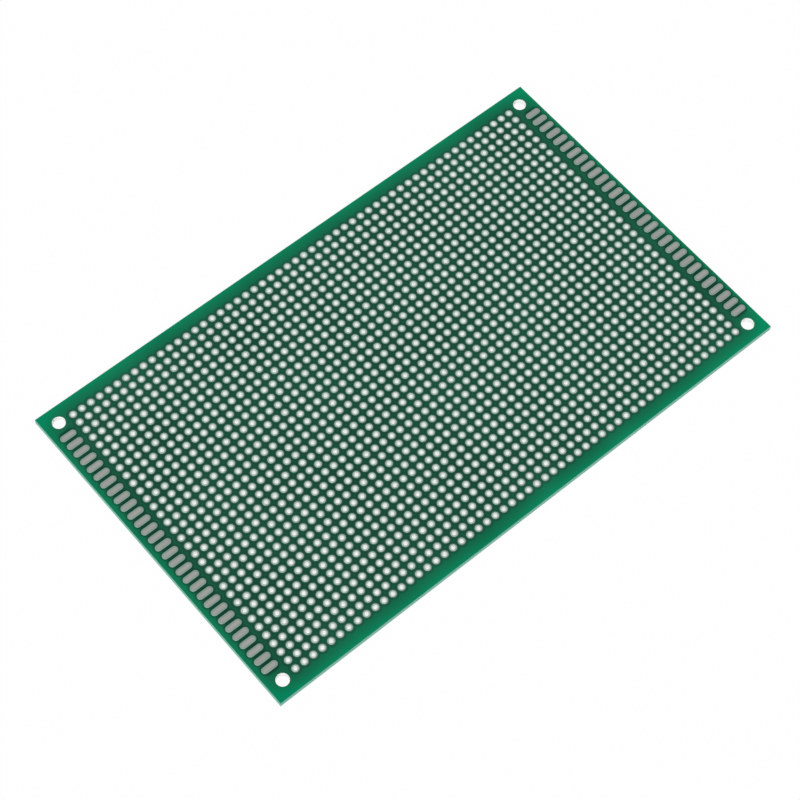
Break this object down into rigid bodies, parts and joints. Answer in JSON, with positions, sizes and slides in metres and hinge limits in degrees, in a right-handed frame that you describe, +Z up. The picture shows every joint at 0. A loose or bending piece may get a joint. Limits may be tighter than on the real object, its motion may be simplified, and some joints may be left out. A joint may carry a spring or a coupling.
{
  "type": "prototype board",
  "caption": "Rectangular double-sided prototype board with a fine grid of tinned plated-through holes, oblong tinned lands along both short ends and a fixing hole in each corner.",
  "frame": {"origin": "middle of the board in X and Y, on the plane of the lowest tin, which the board rests on", "axes": "+X along the long side, +Y along the short side, +Z up, out of the board's top face"},
  "size_m": [0.15, 0.09, 0.0017],
  "materials": {
    "masked_laminate": "satin",
    "tinned_hole": "satin",
    "tinned_end_land": "satin"
  },
  "bodies": {
    "root": {"base_laminate": "masked_laminate", "end_lands_left_top": "tinned_end_land", "end_lands_left_bottom": "tinned_end_land", "end_lands_right_top": "tinned_end_land", "end_lands_right_bottom": "tinned_end_land", "plated_holes_row_01": "tinned_hole", "plated_holes_row_02": "tinned_hole", "plated_holes_row_03": "tinned_hole", "plated_holes_row_04": "tinned_hole", "plated_holes_row_05": "tinned_hole", "plated_holes_row_06": "tinned_hole", "plated_holes_row_07": "tinned_hole", "plated_holes_row_08": "tinned_hole", "plated_holes_row_09": "tinned_hole", "plated_holes_row_10": "tinned_hole", "plated_holes_row_11": "tinned_hole", "plated_holes_row_12": "tinned_hole", "plated_holes_row_13": "tinned_hole", "plated_holes_row_14": "tinned_hole", "plated_holes_row_15": "tinned_hole", "plated_holes_row_16": "tinned_hole", "plated_holes_row_17": "tinned_hole", "plated_holes_row_18": "tinned_hole", "plated_holes_row_19": "tinned_hole", "plated_holes_row_20": "tinned_hole", "plated_holes_row_21": "tinned_hole", "plated_holes_row_22": "tinned_hole", "plated_holes_row_23": "tinned_hole", "plated_holes_row_24": "tinned_hole", "plated_holes_row_25": "tinned_hole", "plated_holes_row_26": "tinned_hole", "plated_holes_row_27": "tinned_hole", "plated_holes_row_28": "tinned_hole", "plated_holes_row_29": "tinned_hole", "plated_holes_row_30": "tinned_hole", "plated_holes_row_31": "tinned_hole", "plated_holes_row_32": "tinned_hole", "plated_holes_row_33": "tinned_hole"}
  },
  "joints": []
}
